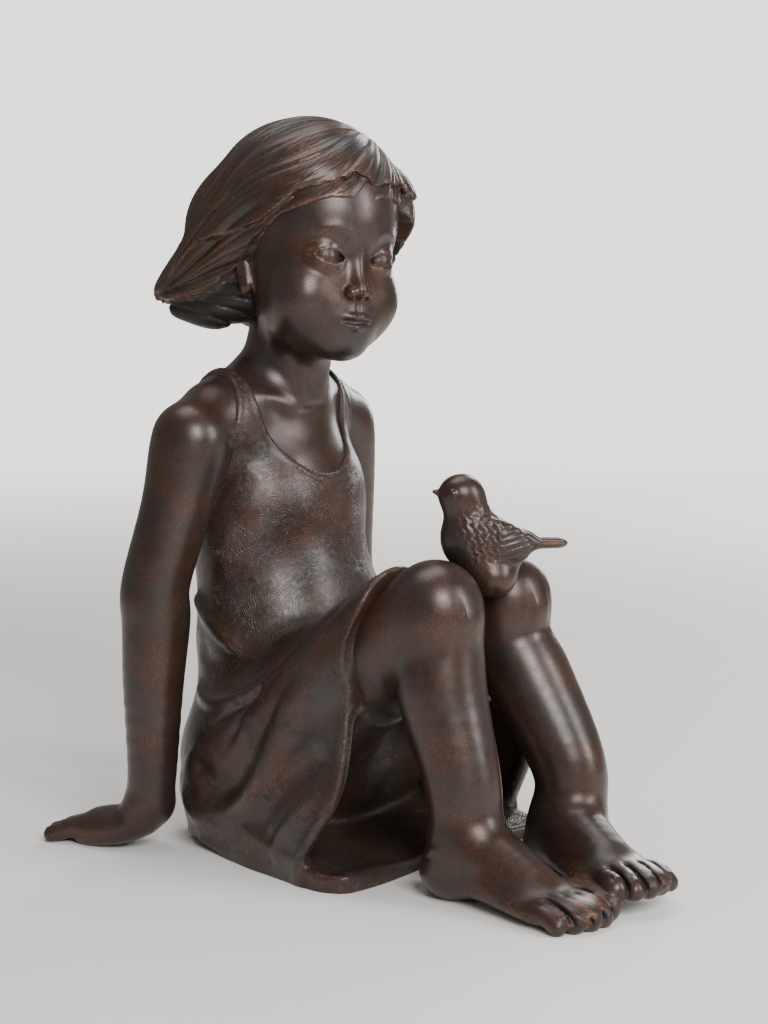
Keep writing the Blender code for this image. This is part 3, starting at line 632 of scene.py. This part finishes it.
def foot(heel, turn, rise, side):
    """Laid out from the heel, toes towards -Y, then turned inward and raised."""
    axes = turned((-rise, 0, turn))

    def at(x, y, z):
        return tuple(np.array(heel, float) + axes @ np.array((-side * x, y, z), float))
    masses = [
        egg(at(0, 0, 15), (20, 21, 17), blend=10),
        limb([at(0, -8, 30), at(1, -28, 24), at(1, -54, 15)], [21, 19, 15], blend=10),
        limb([at(2, -34, 12), at(0, -66, 9), at(-1, -80, 8)], [19, 24, 22], blend=10,
             flat=(0, 0, 1), ratio=0.42),
    ]
    lifts = []
    for i, reach in enumerate((99, 102, 101, 97, 92)):
        across = 17 - i * 8.9
        size = 7.6 if i == 0 else 6.3 - 0.25 * i
        root = at(across * 0.94, -reach + 30, 9.0)
        knuckle = at(across * 1.04, -reach + 16, 10.0 if i else 9.0)
        tip = at(across * 1.08, -reach + size, size * 0.85)
        masses.append(limb([root, knuckle, tip], [size * 0.8, size * 0.92, size], blend=1.6))
        nail = np.array(at(across * 1.08, -reach + size * 0.8, size * 1.7))
        wide = axes @ np.array((size * 0.35, 0, 0))
        lifts.append(ridge([nail - wide, nail + wide], size * 0.4, 1.0, 2))
        fold = np.array(at(across * 1.06, -reach + size * 2.0, size * 2.0))
        lifts.append(ridge([fold - wide, fold + wide], 1.2, -0.5, 2))
        if i < 4:
            middle = across - 4.45
            gap = [at(middle * 0.98, -reach + 26, 16.5), at(middle * 1.03, -reach + 16, 14),
                   at(middle * 1.07, -reach + 6, 10), at(middle * 1.08, -reach + 1, 5)]
            lifts.append(ridge(gap, 1.8, -1.9, 2))
    return masses, lifts


RIGHT_LEG, RIGHT_LEG_LIFTS = leg((-40, -80, 163), (-42, -103, 40), (-43, -96, 0), 3, 0, -1, 25)
LEFT_LEG, LEFT_LEG_LIFTS = leg((32, -70, 159), (37, -114, 40), (34, -107, 0), -19, 6, 1, 24)


def hem_y(z):
    return np.interp(z, HEM_TABLE[:, 0], HEM_TABLE[:, 1])


def legs(p):
    d = depth(RIGHT_LEG + LEFT_LEG, p) - total(RIGHT_LEG_LIFTS + LEFT_LEG_LIFTS, p)
    hidden = np.where(p[:, 2] > 120, p[:, 1] - hem_y(p[:, 2]) - 10, p[:, 1] - 34)
    return kept(d, hidden, 0)


TOES_FINE = [((-44, -182, 8), 34), ((4, -200, 8), 34)]
lower = sculpted("legs_and_feet", legs, (-78, -222, -4), (78, 36, 200), 1.6, TOES_FINE)
cast(lower, skin_patina)

# Dress.
# A sleeveless dress, carved as thick cloth: a bodice, a lap over both thighs and sides that
# fall to the floor, where it also lies under her knees. Every part is hatched with short tool
# strokes in patches, and its rolled hem and neckline are rubbed bright.
CLOTH = 0.0032 / PART
HEM = 0.0060 / PART
FLOOR_CLOTH = 0.0100 / PART
# Half widths of the skirt by height, as (z, half width)
SIDE_FRONT = ((0, 94), (16, 95), (30, 92), (66, 84), (109, 73), (148, 61), (165, 52), (182, 36))
SIDE_HIP = ((0, 56), (4, 67), (10, 76), (26, 84), (55, 84), (100, 74), (150, 60), (190, 52))
HIP_Y = 60.0
FRONT_Y = -45.0
HEM_ROLL = 1.3
FRONT_TABLE, HIP_TABLE = through(SIDE_FRONT, 6), through(SIDE_HIP, 6)
# Folds at her side: path, width and height. Her left side repeats the first three.
FOLDS = (
    (((-57, 112, 152), (-61, 94, 140), (-64, 76, 130), (-62, 58, 120)), 4.0, 4.6),
    (((-60, 108, 97), (-74, 73, 90), (-76, 43, 100), (-76, 24, 110), (-74, 13, 123)), 3.6, 4.4),
    (((-84, 100, 40), (-83, 83, 24), (-83, 58, 24), (-85, 34, 38), (-85, 20, 56), (-82, 8, 80),
      (-80, -4, 105), (-78, -16, 126)), 7.0, 7.4),
    (((-60, 100, 120), (-66, 78, 112), (-70, 50, 112)), 8.0, -2.6),
    (((-82, 68, 78), (-79, 53, 87), (-79, 32, 99)), 2.0, -2.4),
    (((-82, 60, 74), (-80, 46, 82), (-80, 32, 92)), 2.2, 1.8),
    (((-62, -26, 161), (-68, -9, 145), (-70, 9, 130), (-76, 24, 110), (-81, 39, 90), (-85, 50, 65)),
     2.6, -3.4),
    (((-66, -34, 155), (-71, -17, 138), (-74, 1, 120), (-79, 16, 102), (-83, 31, 82)), 6.0, 2.6),
    (((-80, 84, 62), (-85, 62, 46), (-86, 42, 50), (-82, 26, 78)), 9.0, -4.6),
    (((-80, -32, 81), (-83, -18, 68), (-86, -3, 55), (-87, 14, 37), (-85, 25, 22)), 8.0, -3.0),
    (((-86, -30, 56), (-88, -14, 40), (-90, 0, 22), (-91, -2, 8)), 4.0, 2.6),
    (((-88, 7, 28), (-88, 9, 16), (-90, 4, 6)), 2.0, -2.0),
)
FOLD_LIFTS = [ridge(path, width, height, 4) for path, width, height in FOLDS]
FOLD_LIFTS += [ridge([(-x, y, z) for x, y, z in path], width, height * 0.8, 2)
               for path, width, height in FOLDS[:3]]
FOLD_LIFTS += [ridge([(x * 0.7, 142, 190), (x, 140, 120), (x * 1.2, 136, 50)], 9.0, 2.4, 2)
               for x in (-34, 2, 36)]
THIGH_CLOTH = [limb([(side * 40, y, z) for y, z in ((62, 58), (2, 104), (-46, 140), (-70, 158))],
                    [44, 40, 36, 33], blend=16) for side in (-1, 1)]


def side_width(y, z):
    """Half width of the skirt at depth y and height z. It closes in behind her hips."""
    s = np.clip((y - FRONT_Y) / (HIP_Y - FRONT_Y), 0, 1)
    s = s * s * (3 - 2 * s)
    wide = (np.interp(z, FRONT_TABLE[:, 0], FRONT_TABLE[:, 1]) * (1 - s)
            + np.interp(z, HIP_TABLE[:, 0], HIP_TABLE[:, 1]) * s)
    return wide * np.sqrt(1 - np.clip((y - HIP_Y) / 82, 0, 0.95) ** 2)


def skirt_side(p, lift):
    """The sheet at either side, from the thighs to the floor, bent outwards by lift."""
    x, y, z = np.abs(p[:, 0]) - lift, p[:, 1], p[:, 2]
    wide = side_width(y, z)
    slope = (side_width(y, z + 1) - wide) ** 2 + (side_width(y + 1, z) - wide) ** 2
    sheet = np.abs(x - wide + HEM / 2) / np.sqrt(1 + slope) - HEM / 2
    edge = y - hem_y(z)
    sheet = kept(sheet, -edge, 3)
    sheet = sheet - HEM_ROLL * np.exp(-((edge - 4) / 3.5) ** 2)
    sheet = kept(sheet, y - 124, 4)
    return kept(sheet, z - (56 + (66 - y) * 0.741) - 12, 8)


def floor_cloth(p):
    """The cloth between her feet and the seat, with its blunt front edge."""
    x, y, z = p[:, 0], p[:, 1], p[:, 2]
    thick = FLOOR_CLOTH + np.interp(y, (-40, 0, 40), (0, 6, 15)) + 1.6 * np.sin(x * 0.07)
    front = -46 + 5 * np.sin((x + 20) * 0.035) + 8 * np.clip((np.abs(x) - 78) / 14, 0, 1) ** 2
    width = np.interp(y, (-40, 26, 79, 104, 128), (93, 88, 79, 66, 30))
    flat = kept(np.abs(x) - width, front - y, 12)
    flat = kept(flat, y - 118, 10)
    rim = 3 * np.clip((y - 20) / 60, 0, 1) * np.clip((np.abs(x) - width + 24) / 24, 0, 1)
    flat = kept(flat, z - thick, 3)
    return kept(flat, -z - 4 + 3 * rim, 2)


def dress(p):
    lift = total(FOLD_LIFTS, p)
    scoop = neckline(p)
    edge = scoop
    for side, root in ARMHOLES:
        edge = np.minimum(edge, np.where(p[:, 2] > ARMHOLE_LOW, -armhole(p, side, root), FAR))
    seat = depth(TORSO, p) - CLOTH * (0.5 + 0.5 * np.clip(edge / 16, 0, 1))
    lap = np.full(len(p), FAR)
    for thigh in THIGH_CLOTH:
        lap = joined(lap, depth([thigh], p), 22)
    lap = kept(lap, hem_y(p[:, 2]) - p[:, 1], 3)
    cloth = joined(seat, lap, 20) - lift
    cloth = joined(cloth, skirt_side(p, lift), 9)
    cloth = joined(cloth, floor_cloth(p), 8)
    rim = 0.8 * np.exp(-((edge - 1.7) / 1.0) ** 2) * (p[:, 2] > 178)
    for side, root in ARMHOLES:
        cloth = kept(cloth, armhole(p, side, root), 0.8)
    return kept(cloth, -scoop, 0.8) - rim


def hatching(tree, mm):
    """Short tool strokes 1.3 mm apart in fans about 11 mm wide, pressed hard or faint."""
    cells = {"Vector": mm, "Scale": 1 / 11.0}
    centre = add(tree, "TexVoronoi", cells, "Position", voronoi_dimensions="3D")
    chance = add(tree, "TexVoronoi", cells, "Color", voronoi_dimensions="3D")
    from_centre = add(tree, "VectorMath", (mm, centre), operation="SUBTRACT")
    chance = add(tree, "VectorMath", (chance, (0.5, 0.5, 0.5)), operation="SUBTRACT")
    facing = add(tree, "TexCoord", out="Normal")
    across = add(tree, "VectorMath", (facing, chance), operation="CROSS_PRODUCT")
    across = add(tree, "VectorMath", (across,), operation="NORMALIZE")
    reach = add(tree, "VectorMath", (from_centre, across), "Value", operation="DOT_PRODUCT")
    bend = add(tree, "VectorMath", (from_centre, from_centre), "Value", operation="DOT_PRODUCT")
    reach = add(tree, "Math", (bend, 0.025, reach), operation="MULTIPLY_ADD")
    stray = add(tree, "TexNoise", {"Vector": mm, "Scale": 1 / 2.6, "Detail": 2.0})
    reach = add(tree, "Math", (stray, 1.7, reach), operation="MULTIPLY_ADD")
    wave = add(tree, "Math", (reach, 2 * math.pi / 1.3), operation="MULTIPLY")
    wave = add(tree, "Math", (wave,), operation="SINE")
    ends = add(tree, "TexNoise", {"Vector": mm, "Scale": 1 / 3.2, "Detail": 1.0})
    ends = add(tree, "MapRange", (ends, 0.36, 0.58))
    firm = add(tree, "TexNoise", {"Vector": mm, "Scale": 1 / 20, "Detail": 1.0})
    firm = add(tree, "MapRange", (firm, 0.40, 0.62, 0.22, 1.0))
    strength = add(tree, "Math", (ends, firm), operation="MULTIPLY")
    return add(tree, "Math", (add(tree, "MapRange", (wave, -0.4, 1.0)), strength), operation="MULTIPLY")


dress_patina = patina("hatched brown patina on bronze", relief=hatching, relief_depth=0.0004, shine=0.36,
                      brown="#35271f", slate="#3a3736")
gown = sculpted("dress", dress, (-104, -62, -4), (104, 152, 300), 1.65)
cast(gown, dress_patina)

# Hair.
# Hair swept from a parting above her left brow, round and over the head, to a flip behind her
# right ear. It lies in three layers of carved locks, cast with the head and rubbed on the crests.
LOCK_RELIEF = 0.0016 / PART
PARTING = np.array((38.0, 0.0, 74.0))
FLIP = np.array((-72.0, 56.0, -40.0))
SWEEP_LENGTH = np.linalg.norm(FLIP - PARTING)
SWEEP = (FLIP - PARTING) / SWEEP_LENGTH
CAP_EDGE = np.array((-50.0, -18.0, 16.0)) - PARTING     # the cap's lower edge passes here
DOWN = CAP_EDGE - SWEEP * (CAP_EDGE @ SWEEP)
DOWN = DOWN / np.linalg.norm(DOWN)
OVER = np.cross(SWEEP, DOWN)
HAIR = [
    egg((0, 13, 16), (56, 66, 58), blend=0),
    egg((0, 34, -16), (54, 47, 46), blend=16),
    egg((-36, 42, 4), (24, 24, 30), blend=14),
    egg((44, -4, 18), (14, 30, 30), blend=10),
    limb([(44, -6, 18), (44, -8, -8), (40, -4, -32)], [13, 11, 7], blend=8),
    limb([(-38, 8, 10), (-52, 26, -10), (-61, 43, -29), (-67, 52, -38)], [17, 17, 13, 7], blend=12),
    limb([(-32, 22, -32), (-47, 34, -44), (-62, 44, -48)], [20, 19, 11], blend=10),
    limb([(0, 58, -14), (-26, 62, -34), (-54, 54, -44)], [26, 20, 12], blend=14),
]
CAP_LINE = ((-180, -46), (-150, -30), (-120, -8), (-90, 14), (-60, 32), (-40, 40), (-18, 41), (-4, 38),
            (2, 42), (9, 44), (19, 40), (29, 35), (38, 32), (45, 27), (52, 20), (62, 11), (73, 5),
            (87, 0), (97, -5), (103, -11), (108, -20), (113, -31), (117, -39),
            (126, -46), (150, -47), (180, -46))
SIDE_LINE = ((-180, -49), (-124, -45), (-100, -35), (-87, -19), (-69, -3), (-60, 8), (60, 8),
             (69, -3), (79, -11), (87, -19), (95, -28), (100, -35), (104, -40), (111, -42),
             (124, -45), (180, -49))


def around(q):
    """Place along the sweep, distances down and over from it, and the angle round it."""
    run = q - PARTING
    down, over = run @ DOWN, run @ OVER
    return run @ SWEEP / SWEEP_LENGTH, down, over, np.arctan2(over, down)


def hair(p):
    q = placed(p, HEAD, HEAD_TURN)
    d = depth(HAIR, q)
    along, down, over, angle = around(q)
    # the cap lies over the side locks and the fringe, and the side locks over the underlayer, which swept
    # darkens with painted shade
    ripple = np.sin(0.3 * q[:, 1] + 0.25 * q[:, 0]) + 0.6 * np.sin(0.6 * q[:, 0] - 0.5 * q[:, 1])
    cap = above(q, CAP_LINE) + 0.7 * ripple
    side_locks = above(q, SIDE_LINE) + 0.8 * ripple
    lift = 2.9 * step_up(cap, 1.2) + 3.0 * step_up(side_locks, 1.2) - 3.8
    # locks: wide rounded ridges between sharp valleys that wander, begin and end, with strands along them
    wander = 0.8 * np.sin(angle * 2 + 6 * along) + 0.45 * np.sin(9 * along - angle * 3)
    wide = np.clip(np.sqrt(down ** 2 + over ** 2) / 30, 0.2, 1)
    deep = 0.5 + 0.5 * np.sin(angle * 4 + 8 * along + 2 * np.sin(angle * 11))
    valley = (1 - np.abs(np.sin(angle * 7.5 + wander)) ** 0.9) * (0.35 + 0.65 * deep)
    strand = (1 - np.abs(np.sin(angle * 21 + 2 * wander + 1.2 * np.sin(6 * along)))) ** 2 * (1.1 - deep)
    thread = 1 - np.abs(np.sin(angle * 57 + 4 * wander + 2 * np.sin(9 * along + angle * 4)))
    under = q[:, 2] + 0.22 * q[:, 0] + 2.5 * np.sin(0.05 * q[:, 1])
    layered = step_up(side_locks, 1.2)
    carved = LOCK_RELIEF * wide * (2.4 * valley + 0.8 * strand) * layered + 0.2 * thread * wide * layered
    carved = carved + LOCK_RELIEF * 0.9 * (1 - np.abs(np.sin(under * 0.42))) ** 2 * (1 - layered)
    open_face = above(q, FACE_LINE) + 1.6 * np.abs(np.sin(angle * 10.5 + wander)) * step_up(q[:, 2] - 16, 8)
    return kept(d - lift + carved, -open_face, 1.6)


def strands(tree, mm):
    """Fine grooves along the locks, about 0.8 mm apart, drawn round the axis of the sweep."""
    sweep = add(tree, "Attribute", out="Vector", attribute_name="sweep")
    down = add(tree, "SeparateXYZ", (sweep,), "X")
    over = add(tree, "SeparateXYZ", (sweep,), "Y")
    angle = add(tree, "Math", (over, down), operation="ARCTAN2")
    stray = add(tree, "TexNoise", {"Vector": mm, "Scale": 1 / 9, "Detail": 2.0})
    stray = add(tree, "MapRange", (stray, 0.0, 1.0, -9.0, 9.0))
    phase = add(tree, "Math", (angle, 190.0, stray), operation="MULTIPLY_ADD")
    return add(tree, "MapRange", (add(tree, "Math", (phase,), operation="SINE"), -1.0, 1.0))


def swept(mesh):
    """Keeps the direction round the sweep's axis at each corner, for the strands, and level ones below the
    side locks. The layer below the locks gets painted shade, darkened as if shadowed by the locks over it,
    and the lips of the layers are rubbed."""
    q = placed(corners(mesh) / PART + CENTRE, HEAD, HEAD_TURN)
    hollow_and_painted_shade, worn = np.empty(len(q), np.float32), np.empty(len(q), np.float32)
    mesh.attributes["hollow_and_painted_shade"].data.foreach_get("value", hollow_and_painted_shade)
    mesh.attributes["worn"].data.foreach_get("value", worn)
    # painted shade: the underlayer below the side locks is darkened as though in the shadow of the locks
    # above it
    painted_shade_below_locks = step_up(-1 - above(q, SIDE_LINE), 3)
    cap_lip, side_lip = (np.exp(-((above(q, line) - 0.6) / 1.3) ** 2) for line in (CAP_LINE, SIDE_LINE))
    lip = cap_lip + 0.5 * side_lip
    mesh.attributes["hollow_and_painted_shade"].data.foreach_set("value", np.maximum(hollow_and_painted_shade, 0.75 * painted_shade_below_locks).astype(np.float32))
    mesh.attributes["worn"].data.foreach_set("value", np.maximum(worn, 0.55 * lip).astype(np.float32))
    along, down, over, angle = around(q)
    angle = np.where(above(q, SIDE_LINE) < 0, (q[:, 2] + 0.22 * q[:, 0]) / 30, angle)
    rows = np.stack((np.cos(angle), np.sin(angle), along), 1).astype(np.float32)
    mesh.attributes.new("sweep", "FLOAT_VECTOR", "POINT").data.foreach_set("vector", rows.ravel())


hair_patina = patina("brown patina on carved bronze hair", relief=strands, relief_depth=0.0001, shine=0.36,
                     brown="#36271e", slate="#33302e")
locks = sculpted("hair", hair, (-90, -14, 280), (80, 152, 444), 1.02)
swept(locks.data)
cast(locks, hair_patina)

# Bird.
# A small songbird in the groove between her knees, looking back at her. Its breast is smooth,
# and feathers are cut in rows on its collar and wings.
BIRD = (1, -80, 199)
BIRD_HEADING = 56.0         # degrees from +Y towards -X
BIRD_PARTS = 86.0
BIRD_LENGTH = 0.082         # metres, beak to the end of the tail
BIRD_SCALE = BIRD_LENGTH / PART / BIRD_PARTS
FEATHER_RELIEF = 1.1
TAIL = 0.0062 / PART / (2 * 6.5 * BIRD_SCALE)
BIRD_FORM = [
    egg((0, 4, -6), (17, 25, 20), (24, 0, 0), blend=0),
    egg((0, 12, 4), (15, 16, 20), blend=8),
    egg((0, -1, -24), (20, 17, 14), blend=8),
    egg((0, 17, 26), (13, 14.5, 13), blend=9),
    egg((0, -14, -6), (11, 17, 10), (-12, 0, 0), blend=8),
    limb([(0, 28, 27), (0, 34, 28.5)], [3.4, 1.4], blend=2),
    limb([(0, -18, -5), (0, -44, -5.5)], [8, 6.5], blend=4, flat=(0, 0, 1), ratio=TAIL),
]
for side in (-1, 1):
    BIRD_FORM.append(egg((side * 12, -2, -1), (6, 23, 13), (18, 0, side * 7), blend=2.5))
    BIRD_FORM.append(egg((side * 9, 24.5, 28), (3, 3, 3), blend=1))


def feathers(q):
    """Rows of overlapping scallops on the wings and collar, long grooves on the wing tips and tail."""
    lengthwise = -q[:, 1] + 0.3 * q[:, 2] + 0.8 * np.sin(q[:, 2] * 0.9)
    row = lengthwise / 4.4
    round_it = q[:, 2] / 3.9 + 0.5 * np.floor(row)
    tip = row - np.floor(row) - 0.45 * np.abs(np.sin(math.pi * round_it)) ** 0.8
    scallop = np.clip(tip, 0, 1) - 0.3
    wing = step_up(np.abs(q[:, 0]) - 11, 3) * step_up(12 - np.abs(q[:, 2] + 1), 6)
    wing = wing * step_up(14 - q[:, 1], 5)
    front = step_up(q[:, 1] + 4, 4)
    collar = step_up(13 - np.abs(q[:, 2] - 8), 6) * step_up(16 - np.abs(q[:, 1] - 8), 8) * 0.35
    quills = 0.7 * (np.abs(np.sin((q[:, 2] + 0.28 * q[:, 1]) * 0.75)) ** 0.6 - 0.7)
    tail = step_up(-22 - q[:, 1], 4) * 0.5 * (np.abs(np.sin(q[:, 0] * 0.8)) ** 0.6 - 0.7)
    return (wing * front + collar) * scallop + wing * (1 - front) * quills + tail


def bird(p):
    q = placed(p, BIRD, (0, 0, BIRD_HEADING)) / BIRD_SCALE
    return (depth(BIRD_FORM, q) - FEATHER_RELIEF * feathers(q)) * BIRD_SCALE


perched = sculpted("bird", bird, (-40, -125, 160), (50, -50, 250), 0.62)
cast(perched, skin_patina)

# Floor, light and camera: a plain pale floor that fades out, four soft lamps and the
# photograph's viewing angle.
floor = bpy.data.objects.new("floor", bpy.data.meshes.new("floor"))
bpy.context.scene.collection.objects.link(floor)
sheet = bmesh.new()
bmesh.ops.create_circle(sheet, cap_ends=True, segments=96, radius=2.4)
sheet.to_mesh(floor.data)
sheet.free()
pale = bpy.data.materials.new("matt pale floor")
pale.use_nodes = True
shade = pale.node_tree.nodes["Principled BSDF"]
shade.inputs["Base Color"].default_value = linear("#efece8")
shade.inputs["Roughness"].default_value = 0.7
shade.inputs["Specular IOR Level"].default_value = 0.2
away = add(pale.node_tree, "TexCoord", out="Object")
away = add(pale.node_tree, "VectorMath", (away,), "Value", operation="LENGTH")
away = add(pale.node_tree, "MapRange", (away, 0.7, 2.2, 1.0, 0.0), interpolation_type="SMOOTHSTEP")
pale.node_tree.links.new(away, shade.inputs["Alpha"])
floor.data.materials.append(pale)


def softbox(name, place, aim, width, height, power):
    lamp = bpy.data.lights.new(name, "AREA")
    lamp.shape = "RECTANGLE"
    lamp.size, lamp.size_y, lamp.energy = width, height, power
    holder = bpy.data.objects.new(name, lamp)
    holder.location = place
    holder.rotation_euler = (Vector(aim) - Vector(place)).to_track_quat("-Z", "Y").to_euler()
    bpy.context.scene.collection.objects.link(holder)


MIDDLE = (0, -0.02, 0.22)
softbox("key", (-0.75, -1.45, 1.15), MIDDLE, 0.75, 0.9, 34)
softbox("side", (0.7, -1.6, 0.9), MIDDLE, 0.5, 1.0, 20)
softbox("top", (0.1, 0.3, 1.7), MIDDLE, 1.2, 0.9, 12)
softbox("rim", (1.5, 0.6, 0.8), MIDDLE, 0.4, 1.2, 12)
world = bpy.data.worlds.new("pale room")
bpy.context.scene.world = world
world.use_nodes = True
backdrop = add(world.node_tree, "LightPath", out="Is Camera Ray")
backdrop = add(world.node_tree, "MapRange", (backdrop, 0.0, 1.0, 0.3, 2.4))
world.node_tree.nodes["Background"].inputs["Color"].default_value = linear("#f3efec")
world.node_tree.links.new(backdrop, world.node_tree.nodes["Background"].inputs["Strength"])

EYE = (-1.0443, -1.0046, 0.4155)
HEADING = 46.0              # degrees from +Y towards +X
LOOK_DOWN = 8.0
camera = bpy.data.objects.new("camera", bpy.data.cameras.new("camera"))
camera.data.lens = 85
camera.data.sensor_width = 36
camera.location = EYE
camera.rotation_euler = (math.radians(90 - LOOK_DOWN), 0, math.radians(-HEADING))
bpy.context.scene.collection.objects.link(camera)
bpy.context.scene.camera = camera
